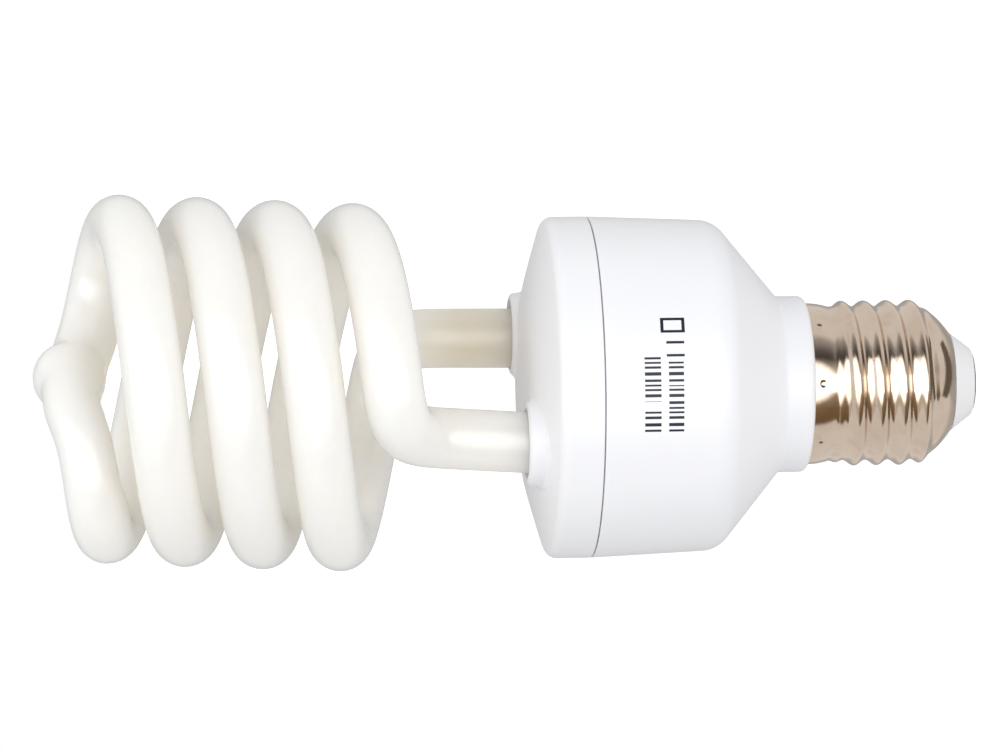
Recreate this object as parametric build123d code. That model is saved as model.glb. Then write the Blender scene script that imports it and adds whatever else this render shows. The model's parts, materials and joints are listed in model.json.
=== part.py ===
"""Compact fluorescent spiral bulb with a 27 mm Edison screw cap, in millimetres.

The origin is the centre of the contact face at the tip of the cap, and +Z runs along the
bulb's axis from the cap to the glass. Two like strands of one glass tube rise from the
cover, wind side by side as a right-handed double spiral, and meet on top in the middle.
"""
from build123d import *
from math import atan, cos, degrees, pi, radians, sin, tan
import os

# Screw cap
thread_pitch = 3.629
thread_crest_d = 26.3
thread_root_d = 24.5
thread_crest_height = 10.1
thread_fade = 2.6
thread_sections_per_turn = 10
shell_wall = 0.3
shell_open_d = 15.9
thread_start_height = 6.6
shoulder_end_height = 9.6
shoulder_curve = 1.9
skirt_step = 0.6
skirt_d = 25.6
skirt_length = 3.45
dimple_count = 8
dimple_r = 0.4
dimple_depth = 0.3
dimple_from_neck = 1.3
dimple_first_turn = 0
insulator_height = 3.8
insulator_flange = 2.6
insulator_flange_step = 0.5
contact_proud = 0.35
contact_d = 9.6
contact_plate = 0.7
rivet_d = 3.2
rivet_bore_d = 1.8
rivet_length = 5.4
rivet_floor = 0.4
solder_top = 4.2

# Ballast housing
cap_length = 26.95
neck_d = 28.0
neck_length = 4.6
neck_nose_round = 1.1
cone_half_angle = 50.5
shoulder_d = 52.4
shoulder_round = 5.0
seam_d = 54.1
housing_length = 34.65
housing_wall = 1.6
seam_groove = 0.25
spigot_length = 11.9
rib_count = 8
rib_thickness = 1.2
rib_first_turn = 11.25

# Cover that holds the glass
cover_wall = 1.6
cover_rim_height = 6.65
cover_corner_round = 1.3
cover_rise = 3.75
cover_flat_d = 29.6
cover_flat_round = 20.0
skirt_depth = 5.5
skirt_wall = 1.2
snap_count = 4
snap_height = 1.6
snap_depth = 0.5
snap_width = 7.0
collar_x = 8.6
collar_y = 13.0
collar_wall = 1.0
collar_lip = 0.7
collar_depth = 4.6
collar_round = 0.9
collar_draft = 0.35

# Glass
tube_d = 9.5
cement_gap = 0.85
coil_r = 24.48
strand_step = 12.27
coil_turns = 1.75
coil_lift = 8.915
nipple_d = 10.8
nipple_lift = 1.005
leg_y = 13.0
leg_top_x = 7.9
leg_top_shift = 0.25
leg_length = 18.4
leg_foot_x = 8.4
leg_foot_shift = -0.5
leg_foot_depth = 6.3
bend_leg_pull = 7.0
bend_coil_pull = 7.5
lean_pivot_drop = 5.445
lean_up = 2.78
lean_back = 1.23
exhaust_tip_d = 2.4
exhaust_tip_length = 1.0
cement_depth = 3.6

# Circuit board and what stands on it
board_thickness = 1.5
board_seat = 1.3
wire_d = 0.6
insulated_wire_d = 1.4
post_size = 0.8
post_height = 3.2
post_ring_r = 19.0
post_spread = 14.0
lead_share = 0.35
lead_length = 1.2
can_d = 13.0
can_length = 20.0
can_gap = 0.5
can_groove_height = 2.6
can_pin_pitch = 5.0
can_x = 2.0
choke_x = -14.5
choke_width = 16.0
choke_depth = 5.0
choke_leg = 4.0
choke_side_leg = 2.2
choke_yoke = 2.2
choke_window = 4.8
choke_air_gap = 0.4
bobbin_wall = 0.7
bobbin_flange = 0.8
winding_build = 2.0
toroid_x = 13.0
toroid_y = -9.5
toroid_d = 9.5
toroid_bore_d = 5.0
toroid_height = 4.8
toroid_wire = 0.5
toroid_winding_arc = 34
transistor_width = 7.6
transistor_depth = 2.6
transistor_height = 10.8
transistor_lift = 3.2
transistor_pitch = 2.3
transistor_hole_d = 3.2
transistor_hole_height = 3.6
transistor_ring_r = 18.2
transistor_turns = (5, 36)
film_gap = 0.4
film_pin_inset = 1.5
resonant_size = (13.0, 6.0, 11.0)
resonant_place = (2.2, 15.0)
blocking_size = (11.0, 5.0, 9.0)
blocking_place = (2.0, -15.0)
diode_size = (2.7, 5.0)
diode_ring_r = 18.6
diode_first_turn = 212
diode_turn_step = 12
diac_size = (1.9, 4.0)
diac_place = (-9.0, -9.3, 60)
resistor_size = (2.4, 6.3)
resistor_places = ((-3.2, 8.6, 180), (-14.2, 11.6, 120), (9.5, 10.5, -60), (-6.5, -11.5, 90))
drum_d = 8.0
drum_waist_d = 3.6
drum_length = 9.5
drum_flange = 1.2
drum_pin_pitch = 5.0
drum_x = -8.6
drum_y = 15.6
thermistor_x = 3.0
thermistor_y = -20.0
thermistor_d = 6.0
thermistor_depth = 2.6
thermistor_pin_pitch = 4.0
thermistor_lift = 1.5
fuse_d = 4.4
fuse_length = 12.0
fuse_gap = 7.0
fuse_lead_x = 10.6
neutral_x = -5.5
neutral_y = -7.0

# Clearances
plastic_fit = 0.15
cap_fit = 0.1
insulator_fit = 0.05

# Heights and radii that follow
tube_r = tube_d / 2
seam_height = cap_length + housing_length
rim_height = seam_height + cover_rim_height
face_height = rim_height + cover_rise
mouth_height = face_height + collar_lip
leg_foot_height = mouth_height - leg_foot_depth
leg_top_height = leg_foot_height + leg_length
coil_low_height = leg_top_height + coil_lift
coil_top_height = coil_low_height + 2 * strand_step * coil_turns
strands_meet_height = coil_top_height + strand_step / 2
lean_pivot_height = coil_low_height - lean_pivot_drop
housing_draft = (seam_d - shoulder_d) / 2
cone_height = cap_length + neck_length
shoulder_height = cone_height + (shoulder_d - neck_d) / 2 / tan(radians(cone_half_angle))
board_top_height = seam_height - skirt_depth
board_height = board_top_height - board_thickness
skirt_r = skirt_d / 2
spigot_r = skirt_r - shell_wall - cap_fit
root_r = thread_root_d / 2
nose_r = root_r - shell_wall - cap_fit
spigot_bore_r = nose_r - housing_wall
skirt_height = cap_length - skirt_length
collar_bore_r = tube_r + cement_gap
board_r = seam_d / 2 - housing_wall - 2 * plastic_fit - housing_draft / 2


def turned(*corners):
    """Solid turned about Z from (radius, height) corners, some with a fillet radius."""
    points = [corner[:2] for corner in corners]
    rounds = [corner[2] if len(corner) > 2 else 0 for corner in corners]
    outline = FilletPolyline(*points, radius=rounds, close=True)
    return revolve(Plane.XZ * make_face(outline), Axis.Z)


def disc(radius, low, high, x=0.0, y=0.0):
    """Upright cylinder between two heights."""
    return Pos(x, y, (low + high) / 2) * Cylinder(radius, high - low)


def block(length, width, low, high, x=0.0, y=0.0):
    """Upright rectangular block between two heights."""
    return Pos(x, y, (low + high) / 2) * Box(length, width, high - low)


def ring(outer_r, inner_r, low, high, x=0.0, y=0.0):
    """Upright tube between two heights."""
    return disc(outer_r, low, high, x, y) - disc(inner_r, low, high, x, y)


def around(count, shape, start=0.0):
    """Copies of a shape spaced evenly about Z."""
    return [Rot(0, 0, start + 360 * i / count) * shape for i in range(count)]


def smooth_step(value, low, high):
    """Rises from 0 at low to 1 at high without a corner."""
    share = min(max((value - low) / (high - low), 0.0), 1.0)
    return share * share * (3 - 2 * share)


def pipe(diameter, *points, bend=0.0):
    """Round wire or tube along straight runs with bends."""
    if bend and len(points) > 2:
        path = FilletPolyline(*points, radius=bend)
    else:
        path = Polyline(*points)
    start = Plane(origin=path.position_at(0), z_dir=path.tangent_at(0))
    return sweep(start * Circle(diameter / 2), path=path, transition=Transition.ROUND)


# Screw cap


def thread_radius(height):
    """Radius of the shell where it has no thread: a curved shoulder, the root and the skirt."""
    left = max(shoulder_end_height - height, 0) / (shoulder_end_height - insulator_height)
    shoulder = root_r - (root_r - shell_open_d / 2) * left ** shoulder_curve
    return shoulder + (skirt_r - root_r) * smooth_step(height, skirt_height - skirt_step, skirt_height)


def thread_body(inset):
    """Shoulder and rolled thread: a circle whose centre winds along a small helix as it rises."""
    depth = (thread_crest_d - thread_root_d) / 2
    length = skirt_height - insulator_height
    steps = round(length / thread_pitch * thread_sections_per_turn)
    sections = []
    for i in range(steps + 1):
        height = insulator_height + length * i / steps
        grow = smooth_step(height, thread_start_height, thread_start_height + thread_fade)
        fade = smooth_step(skirt_height - height, 0, thread_fade)
        shift = depth / 2 * grow * fade
        turn = 2 * pi * (height - thread_crest_height) / thread_pitch
        radius = thread_radius(height) + shift - inset
        sections.append(Pos(shift * cos(turn), shift * sin(turn), height) * Circle(radius))
    return loft(sections)


def make_screw_shell():
    """Thin metal shell: curved shoulder, rounded thread, plain skirt and staking dimples."""
    thread = thread_body(0) - thread_body(shell_wall)
    shell = thread + ring(skirt_r, skirt_r - shell_wall, skirt_height, cap_length)
    punch = Pos(skirt_r + dimple_r - dimple_depth, 0, cap_length - dimple_from_neck)
    within_skirt = disc(skirt_r, skirt_height, cap_length)
    for bump in around(dimple_count, punch * Sphere(dimple_r + shell_wall), dimple_first_turn):
        shell += bump & within_skirt
    for dent in around(dimple_count, punch * Sphere(dimple_r), dimple_first_turn):
        shell -= dent
    return shell


def make_base_insulator():
    """White plug at the tip: a cone outside, a waist in the shell's opening, a flange inside."""
    inset = shell_wall + insulator_fit
    waist_r = shell_open_d / 2 - inset
    flange_low = insulator_height + insulator_flange_step
    flange_high = insulator_height + insulator_flange
    plug = turned(
        (rivet_d / 2 + insulator_fit, contact_plate),
        (contact_d / 2 + insulator_fit, contact_plate),
        (contact_d / 2 + insulator_fit, contact_proud),
        (contact_d / 2 + 0.5, contact_proud, 0.3),
        (shell_open_d / 2, insulator_height),
        (waist_r, insulator_height),
        (waist_r, flange_low),
        (thread_radius(flange_low) - inset, flange_low),
        (thread_radius(flange_high) - inset, flange_high),
        (rivet_d / 2 + insulator_fit, flange_high),
    )
    return plug


def make_centre_contact():
    """Contact plate with a cup-shaped rivet that passes up through the insulator."""
    plate = turned((0, 0), (contact_d / 2, 0, 0.3), (contact_d / 2, contact_plate), (0, contact_plate))
    rivet = disc(rivet_d / 2, rivet_floor, rivet_length)
    return plate + rivet - disc(rivet_bore_d / 2, rivet_floor, rivet_length + 1)


def make_contact_solder():
    """Solder in the rivet that holds the live wire."""
    return disc(rivet_bore_d / 2, rivet_floor, solder_top)


# Ballast housing


def housing_outline(inset, low_corners):
    """Neck, cone and rounded body, moved inward by the wall where inset is not zero."""
    lift = inset * tan(radians(cone_half_angle / 2))
    return turned(
        *low_corners,
        (neck_d / 2 - inset, cone_height + lift, 1.0 + inset),
        (shoulder_d / 2 - inset, shoulder_height + lift, shoulder_round - inset),
        (seam_d / 2 - inset, seam_height),
        (0, seam_height),
    )


def make_ballast_housing():
    """Moulded cup with a neck that the screw shell slides onto."""
    outer = housing_outline(0, [
        (0, cap_length), (neck_d / 2, cap_length, neck_nose_round)])
    cavity = housing_outline(housing_wall, [
        (0, cap_length + housing_wall), (neck_d / 2 - housing_wall, cap_length + housing_wall)])
    nose_low = cap_length - spigot_length
    step = skirt_height + 0.3
    spigot = turned(
        (spigot_bore_r, nose_low), (nose_r, nose_low, 0.4), (nose_r, step), (spigot_r, step + 0.5),
        (spigot_r, cap_length + housing_wall), (spigot_bore_r, cap_length + housing_wall),
    )
    housing = outer - cavity - disc(spigot_bore_r, cap_length, cap_length + 2 * housing_wall) + spigot
    rib = block(board_seat + 4, rib_thickness, cone_height + 6, board_height,
                board_r - board_seat + (board_seat + 4) / 2)
    for seat in around(rib_count, rib, rib_first_turn):
        housing += seat & cavity
    groove = turned(
        (seam_d / 2 - seam_groove, seam_height), (seam_d / 2 + 1, seam_height),
        (seam_d / 2 + 1, seam_height - seam_groove - 1),
    )
    housing -= groove
    for window in snap_windows(plastic_fit):
        housing -= window
    socket = Pos(skirt_r + dimple_r - dimple_depth, 0, cap_length - dimple_from_neck)
    recess_r = dimple_r + shell_wall + cap_fit / 2
    for recess in around(dimple_count, socket * Sphere(recess_r), dimple_first_turn):
        housing -= recess
    return housing


def inner_wall_r(height):
    """Inside radius of the housing on its drafted wall."""
    share = (height - shoulder_height) / (seam_height - shoulder_height)
    return shoulder_d / 2 + housing_draft * share - housing_wall


def snap_windows(room):
    """The wedge shapes of the snaps, or with room added, the recesses that take them."""
    middle = seam_height - skirt_depth / 2
    wall_r = inner_wall_r(middle)
    reach = wall_r + snap_depth - 0.3
    bead = turned(
        (wall_r - 1.0, middle - snap_height / 2 - room), (reach + room, middle - room),
        (reach + room, middle + snap_height / 4 + room), (wall_r - 1.0, middle + snap_height / 2 + room),
    )
    sector = block(4, snap_width + 2 * room, seam_height - skirt_depth, seam_height, wall_r)
    return around(snap_count, bead & sector, 45)


# Cover


def make_tube_cover():
    """Domed cover with two collars for the glass and a skirt that snaps into the housing."""
    rim_r = seam_d / 2
    outer = turned(
        (0, seam_height), (rim_r - seam_groove, seam_height), (rim_r, seam_height + seam_groove),
        (rim_r, rim_height, cover_corner_round), (cover_flat_d / 2, face_height, cover_flat_round),
        (0, face_height),
    )
    skirt_outer_r = inner_wall_r(seam_height) - plastic_fit - housing_draft / 4
    skirt_inner_r = skirt_outer_r - skirt_wall
    inside = turned(
        (0, seam_height), (skirt_inner_r, seam_height), (skirt_inner_r, rim_height - cover_wall, 0.6),
        (cover_flat_d / 2, face_height - cover_wall), (0, face_height - cover_wall),
    )
    skirt = ring(skirt_outer_r, skirt_inner_r, seam_height - skirt_depth, seam_height + 0.5)
    cover = outer - inside + skirt
    for snap in snap_windows(0):
        cover += snap - disc(skirt_outer_r - 0.1, board_top_height, seam_height)
    for side in (-1, 1):
        x = side * collar_x
        y = side * collar_y
        collar = turned(
            (0, face_height - collar_depth),
            (collar_bore_r + collar_wall + collar_draft, face_height - collar_depth),
            (collar_bore_r + collar_wall, mouth_height, collar_round), (0, mouth_height),
        )
        cover += Pos(x, y, 0) * collar
    for side in (-1, 1):
        cover -= disc(collar_bore_r, seam_height, mouth_height + 1, side * collar_x, side * collar_y)
    return cover


# Glass


def leaned(shape):
    """Turns the glass about its pivot: it sits slightly crooked in its collars."""
    return Pos(0, 0, lean_pivot_height) * Rot(-lean_back, lean_up, 0) * Pos(0, 0, -lean_pivot_height) * shape


def leg_foot(side):
    """Middle of a leg's sealed foot, a little off the middle of its collar."""
    return side * leg_foot_x + leg_foot_shift, side * leg_y, leg_foot_height


def strand_path(side):
    """Centre line of one strand, from its foot in the collar up to the middle of the top."""
    half_turn = Rot(0, 0, 0 if side > 0 else 180)
    helix = Helix(pitch=2 * strand_step, height=coil_top_height - coil_low_height, radius=coil_r)
    coil = leaned(half_turn * Pos(0, 0, coil_low_height) * Rot(0, 0, -360 * coil_turns) * helix)
    inward = Helix(pitch=strand_step, height=strand_step / 2, radius=coil_r / 2)
    bridge = leaned(half_turn * Pos(coil_r / 2, 0, coil_top_height) * inward)
    leg_top = Vector(side * leg_top_x + leg_top_shift, side * leg_y, leg_top_height)
    leg = Line(Vector(leg_foot(side)), leg_top)
    leg_end = leg.position_at(1)
    coil_start = coil.position_at(0)
    bend = Bezier(
        leg_end, leg_end + leg.tangent_at(1) * bend_leg_pull,
        coil_start - coil.tangent_at(0) * bend_coil_pull, coil_start,
    )
    return Wire([leg.edge(), bend.edge(), coil.edge(), bridge.edge()])


def make_strand(side):
    """One strand of the tube with its sealed foot."""
    path = strand_path(side)
    start = Plane(origin=path.position_at(0), z_dir=path.tangent_at(0))
    strand = sweep(start * Circle(tube_r), path=path)
    return strand + Pos(*leg_foot(side)) * Sphere(tube_r)


def make_discharge_tube():
    """The whole glass: two strands, the swollen tip where they meet and one exhaust tip."""
    nipple = leaned(Pos(0, 0, strands_meet_height + nipple_lift) * Sphere(nipple_d / 2))
    foot_x, foot_y, foot_height = leg_foot(1)
    foot_bottom = foot_height - tube_r
    tip = disc(exhaust_tip_d / 2, foot_bottom - exhaust_tip_length, foot_bottom + 0.3, foot_x, foot_y)
    return make_strand(1) + nipple + make_strand(-1) + tip


def make_tube_cement(glass):
    """Two rings of white cement that fill the collars round the legs."""
    top = mouth_height - 0.3
    rings = []
    for side in (-1, 1):
        plug = disc(collar_bore_r, top - cement_depth, top, side * collar_x, side * collar_y)
        rings.append((plug - glass).solids()[0])
    return Compound(children=rings)


# Circuit board and its components, which hang from it into the housing


def make_circuit_board():
    """Round board that sits on the housing's ribs, under the cover's skirt."""
    board = disc(board_r, board_height, board_top_height)
    return chamfer(board.edges(), 0.15)


def post_places():
    """Where the four wire posts stand, two beside each leg."""
    places = []
    for side in (-1, 1):
        for part in (-1, 1):
            turn = degrees(atan(collar_y / collar_x)) + (0 if side > 0 else 180) + part * post_spread
            places.append((side, post_ring_r * cos(radians(turn)), post_ring_r * sin(radians(turn))))
    return places


def make_wire_posts():
    """Square pins on the glass side of the board."""
    top = board_top_height + post_height
    return Compound(children=[
        block(post_size, post_size, board_top_height, top, x, y) for side, x, y in post_places()])


def make_filament_leads(glass):
    """Four bare wires from the sealed feet of the glass to the posts."""
    top = board_top_height + post_height
    leads = []
    for side, x, y in post_places():
        foot_x, foot_y, foot_height = leg_foot(side)
        foot_x += (x - foot_x) * lead_share
        foot_y += (y - foot_y) * lead_share
        lead = pipe(wire_d, (foot_x, foot_y, foot_height),
                    (foot_x, foot_y, top + wire_d / 2), (x, y, top + wire_d / 2))
        leads.append((lead - glass).solids().sort_by(Axis.Z)[0])
    return Compound(children=leads)


def legs_down(places, low, high=None):
    """Bare component leads at the given places, up to the board's underside."""
    high = board_height if high is None else high
    return [disc(wire_d / 2, low, high, x, y) for x, y in places]


def make_smoothing_capacitor():
    """Round can with a rolled groove near the board and a domed far end."""
    high = board_height - can_gap
    low = high - can_length
    groove = high - can_groove_height
    can = turned(
        (0, low), (can_d / 2, low, 0.6), (can_d / 2, groove - 0.6), (can_d / 2 - 0.5, groove),
        (can_d / 2, groove + 0.6), (can_d / 2, high, 0.5), (0, high),
    )
    for lead in legs_down([(-can_pin_pitch / 2, 0), (can_pin_pitch / 2, 0)], high):
        can += lead
    return Pos(can_x, 0, 0) * can


def choke_middle():
    """Height where the two halves of the choke's core face each other."""
    return board_height - bobbin_flange - choke_yoke - plastic_fit - choke_window


def choke_half(direction):
    """One E-shaped half of the choke's core, facing the other half."""
    middle = choke_middle() + direction * choke_air_gap / 2
    yoke = choke_middle() + direction * choke_window
    low = min(middle, yoke + direction * choke_yoke)
    high = max(middle, yoke + direction * choke_yoke)
    half = block(choke_depth, choke_width, low, high)
    gap = (choke_width - choke_leg - 2 * choke_side_leg) / 2
    for side in (-1, 1):
        y = side * (choke_leg + gap) / 2
        half -= block(choke_depth + 1, gap, min(middle, yoke), max(middle, yoke), 0, y)
    return half


def make_choke_core():
    """Two E halves that face each other inside the bobbin across a thin air gap."""
    return Pos(choke_x, 0, 0) * Compound(children=[choke_half(1), choke_half(-1)])


def choke_sleeve():
    """Lowest and highest points and the size of the bobbin's sleeve round the middle leg."""
    reach = choke_window - plastic_fit
    size_x = choke_depth + 2 * plastic_fit + 2 * bobbin_wall
    size_y = choke_leg + 2 * plastic_fit + 2 * bobbin_wall
    return choke_middle() - reach, choke_middle() + reach, size_x, size_y


def make_choke_bobbin():
    """Spool on the middle leg, with a foot each side that stands on the board."""
    low, high, size_x, size_y = choke_sleeve()
    gap = (choke_width - choke_leg - 2 * choke_side_leg) / 2
    flange_y = choke_leg + 2 * gap - 2 * plastic_fit
    flange_x = size_x + 2 * winding_build
    spool = block(size_x, size_y, low, high)
    spool += block(flange_x, flange_y, low, low + bobbin_wall)
    spool += block(flange_x, flange_y, high - bobbin_wall, high)
    foot_x = (choke_depth + 2 * plastic_fit + flange_x) / 4
    for side in (-1, 1):
        spool += block((flange_x - choke_depth) / 2 - plastic_fit, flange_y,
                       high - bobbin_wall, board_height, side * foot_x)
    hole = block(choke_depth + 2 * plastic_fit, choke_leg + 2 * plastic_fit, low - 1, high + 1)
    return Pos(choke_x, 0, 0) * (spool - hole)


def make_choke_winding():
    """Copper winding that fills the bobbin."""
    low, high, size_x, size_y = choke_sleeve()
    low += bobbin_wall
    high -= bobbin_wall
    gap = (choke_width - choke_leg - 2 * choke_side_leg) / 2
    size_out_y = choke_leg + 2 * gap - 4 * plastic_fit
    wound = block(size_x + 2 * winding_build - 0.3, size_out_y, low, high)
    wound = fillet(wound.edges().filter_by(Axis.Z), 1.2)
    return Pos(choke_x, 0, 0) * (wound - block(size_x, size_y, low, high))


def toroid_section(grow):
    """Cross-section of the drive transformer's ring core, or a larger one round it."""
    high = board_height - toroid_wire
    section = Rectangle((toroid_d - toroid_bore_d) / 2 + 2 * grow, toroid_height + 2 * grow)
    return Plane.XZ * Pos((toroid_d + toroid_bore_d) / 4, high - toroid_height / 2) * section


def make_drive_toroid():
    """Small ring core that lies flat under the board."""
    return Pos(toroid_x, toroid_y, 0) * revolve(toroid_section(0), Axis.Z)


def make_toroid_windings():
    """Three short windings through the ring core."""
    frame = toroid_section(toroid_wire) - toroid_section(0)
    band = Pos(toroid_x, toroid_y, 0) * revolve(frame, Axis.Z, toroid_winding_arc)
    middle = Axis((toroid_x, toroid_y, 0), (0, 0, 1))
    return Compound(children=[band.rotate(middle, 20 + 120 * i) for i in range(3)])


def make_switching_transistors():
    """Two flat plastic transistors that stand near the housing's wall on three leads."""
    high = board_height - transistor_lift
    low = high - transistor_height
    body = block(transistor_depth, transistor_width, low, high)
    hole = Rot(0, 90, 0) * Cylinder(transistor_hole_d / 2, 3 * transistor_depth)
    body -= Pos(0, 0, low + transistor_hole_height) * hole
    for lead in legs_down([(0, -transistor_pitch), (0, 0), (0, transistor_pitch)], high):
        body += lead
    body = Pos(transistor_ring_r, 0, 0) * body
    return Compound(children=[Rot(0, 0, turn) * body for turn in transistor_turns])


def film_capacitor(size, place):
    """Rounded film capacitor on two leads."""
    length, width, height = size
    high = board_height - film_gap
    body = block(length, width, high - height, high)
    body = fillet(body.edges(), min(width / 5, 1.0))
    pin_x = length / 2 - film_pin_inset
    for lead in legs_down([(-pin_x, 0), (pin_x, 0)], high):
        body += lead
    return Pos(*place, 0) * body


def make_resonant_capacitor():
    """Larger film capacitor across the glass tube."""
    return film_capacitor(resonant_size, resonant_place)


def make_blocking_capacitor():
    """Smaller film capacitor in series with the choke."""
    return film_capacitor(blocking_size, blocking_place)


def standing_axial(size, x, y, turn):
    """Axial component that stands on one lead, with the other lead folded back up."""
    body_d, body_length = size
    high = board_height - lead_length
    low = high - body_length
    body = disc(body_d / 2, low, high)
    body = fillet(body.edges(), body_d / 8)
    body += disc(wire_d / 2, high - 0.1, board_height)
    fold = body_d / 2 + wire_d
    end = low - lead_length
    body += pipe(wire_d, (0, 0, low + 0.1), (0, 0, end), (fold, 0, end), (fold, 0, board_height))
    return Pos(x, y, 0) * Rot(0, 0, turn) * body


def make_rectifier_diodes():
    """Four diodes in a row near the wall."""
    return Compound(children=[
        Rot(0, 0, diode_first_turn + i * diode_turn_step) * standing_axial(diode_size, diode_ring_r, 0, 180)
        for i in range(4)])


def make_diac():
    """Small glass trigger diode."""
    return standing_axial(diac_size, *diac_place)


def make_resistors():
    """Four small resistors."""
    return Compound(children=[standing_axial(resistor_size, *place) for place in resistor_places])


def make_emi_choke_core():
    """Drum core of the mains filter choke."""
    drum = turned(
        (0, drum_low()), (drum_d / 2, drum_low()), (drum_d / 2, drum_low() + drum_flange),
        (drum_waist_d / 2, drum_low() + drum_flange), (drum_waist_d / 2, drum_high() - drum_flange),
        (drum_d / 2, drum_high() - drum_flange), (drum_d / 2, drum_high()), (0, drum_high()),
    )
    pin_x = drum_pin_pitch / 2
    for lead in legs_down([(-pin_x, 0), (pin_x, 0)], drum_high()):
        drum += lead
    return Pos(drum_x, drum_y, 0) * drum


def make_emi_choke_winding():
    """Winding between the drum's flanges."""
    return ring(drum_d / 2 - 0.4, drum_waist_d / 2, drum_low() + drum_flange,
                drum_high() - drum_flange, drum_x, drum_y)


def drum_high():
    """Height of the drum's face next to the board."""
    return board_height - can_gap


def drum_low():
    """Height of the drum's far face."""
    return drum_high() - drum_length


def make_start_thermistor():
    """Flat disc that warms the filaments at switch-on."""
    low = board_height - thermistor_lift - thermistor_d
    body = Rot(90, 0, 0) * Cylinder(thermistor_d / 2, thermistor_depth)
    body = Pos(0, 0, low + thermistor_d / 2) * body
    pin_x = thermistor_pin_pitch / 2
    for lead in legs_down([(-pin_x, 0), (pin_x, 0)], low + thermistor_d - 0.8):
        body += lead
    return Pos(thermistor_x, thermistor_y, 0) * body


def make_fuse_resistor():
    """Sleeved resistor in the neck, with one lead down to the tip and one up to the board."""
    low = rivet_length + fuse_gap
    high = low + fuse_length
    body = disc(fuse_d / 2, low, high)
    body = fillet(body.edges(), 0.6)
    body += disc(wire_d / 2, solder_top, low + 0.1)
    return body + pipe(wire_d, (0, 0, high - 0.1), (0, 0, high + 2), (fuse_lead_x, 0, high + 8),
                       (fuse_lead_x, 0, board_height), bend=1.5)


def make_neutral_wire():
    """Insulated wire from the board to the inside of the screw shell, past the neck's end."""
    nose_low = cap_length - spigot_length
    end_r = nose_r - 0.3
    run_x = -(spigot_bore_r - insulated_wire_d)
    low = nose_low - insulated_wire_d
    return pipe(
        insulated_wire_d, (neutral_x, neutral_y, board_height), (neutral_x, neutral_y, cone_height + 6),
        (run_x, 0, cap_length), (run_x, 0, low), (-end_r, 0, low), bend=0.9)


def main():
    """Builds every piece and writes each to its own file."""
    glass = make_discharge_tube()
    pieces = {
        "discharge_tube": glass,
        "tube_cement": make_tube_cement(glass),
        "filament_leads": make_filament_leads(glass),
        "tube_cover": make_tube_cover(),
        "ballast_housing": make_ballast_housing(),
        "screw_shell": make_screw_shell(),
        "base_insulator": make_base_insulator(),
        "centre_contact": make_centre_contact(),
        "contact_solder": make_contact_solder(),
        "circuit_board": make_circuit_board(),
        "wire_posts": make_wire_posts(),
        "smoothing_capacitor": make_smoothing_capacitor(),
        "choke_core": make_choke_core(),
        "choke_bobbin": make_choke_bobbin(),
        "choke_winding": make_choke_winding(),
        "drive_toroid": make_drive_toroid(),
        "toroid_windings": make_toroid_windings(),
        "switching_transistors": make_switching_transistors(),
        "resonant_capacitor": make_resonant_capacitor(),
        "blocking_capacitor": make_blocking_capacitor(),
        "rectifier_diodes": make_rectifier_diodes(),
        "diac": make_diac(),
        "resistors": make_resistors(),
        "emi_choke_core": make_emi_choke_core(),
        "emi_choke_winding": make_emi_choke_winding(),
        "start_thermistor": make_start_thermistor(),
        "fuse_resistor": make_fuse_resistor(),
        "neutral_wire": make_neutral_wire(),
    }
    os.makedirs("parts", exist_ok=True)
    for name, piece in pieces.items():
        export_step(piece, f"parts/{name}.step")


main()
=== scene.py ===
"""A compact fluorescent spiral bulb, dressed for its photograph.

Lengths are written in millimetres and turned into metres when a mesh is made. The frame is
the bulb's own: the origin at the tip of the cap, +Z along the axis towards the glass.
"""
import bmesh
import bpy
import json
import numpy as np
from mathutils import Matrix, Vector


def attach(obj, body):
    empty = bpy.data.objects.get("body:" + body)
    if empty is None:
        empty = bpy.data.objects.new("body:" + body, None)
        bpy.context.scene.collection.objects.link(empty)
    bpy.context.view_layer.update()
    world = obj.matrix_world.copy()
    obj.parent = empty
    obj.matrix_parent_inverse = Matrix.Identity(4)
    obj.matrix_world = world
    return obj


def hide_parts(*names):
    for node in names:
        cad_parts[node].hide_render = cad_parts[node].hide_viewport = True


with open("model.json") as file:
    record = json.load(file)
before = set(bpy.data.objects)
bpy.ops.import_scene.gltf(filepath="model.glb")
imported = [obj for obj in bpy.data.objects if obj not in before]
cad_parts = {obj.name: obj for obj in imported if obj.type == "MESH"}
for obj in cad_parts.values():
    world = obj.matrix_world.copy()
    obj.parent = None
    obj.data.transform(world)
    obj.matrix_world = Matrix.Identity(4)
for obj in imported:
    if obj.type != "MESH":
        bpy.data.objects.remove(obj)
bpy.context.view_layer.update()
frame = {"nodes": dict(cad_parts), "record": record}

MM = 0.001
TURN = 2 * np.pi

# Screw cap
THREAD_PITCH = 3.629
THREAD_CREST_R = 13.15
THREAD_ROOT_R = 12.25
THREAD_CREST_HEIGHT = 10.1
THREAD_FADE = 2.6
SHELL_WALL = 0.3
SHELL_OPEN_R = 7.95
SHELL_OPEN_HEIGHT = 3.8
THREAD_START = 6.6
SHOULDER_END = 9.6
SHOULDER_CURVE = 1.9
SKIRT_R = 12.8
SKIRT_CURVE = 2.3
SKIRT_HEIGHT = 23.5
SKIRT_OVERLAP = 0.4
CAP_LENGTH = 26.95
DIMPLE_COUNT = 8
DIMPLE_HEIGHT = 25.65
DIMPLE_R = 0.5
DIMPLE_DEPTH = 0.2
DIMPLE_RIM_HEIGHT = 0.025
DIMPLE_RIM_WIDTH = 0.2
SHELL_COLUMNS = 432
SHELL_INNER_SKIP = 6
CONTACT_R = 4.8
CONTACT_THICKNESS = 0.7
INSULATOR_FACE = 0.3
INSULATOR_BORE_R = 2.0
INSULATOR_FOOT = 1.2
JOINT_GAP = 0.02

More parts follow.
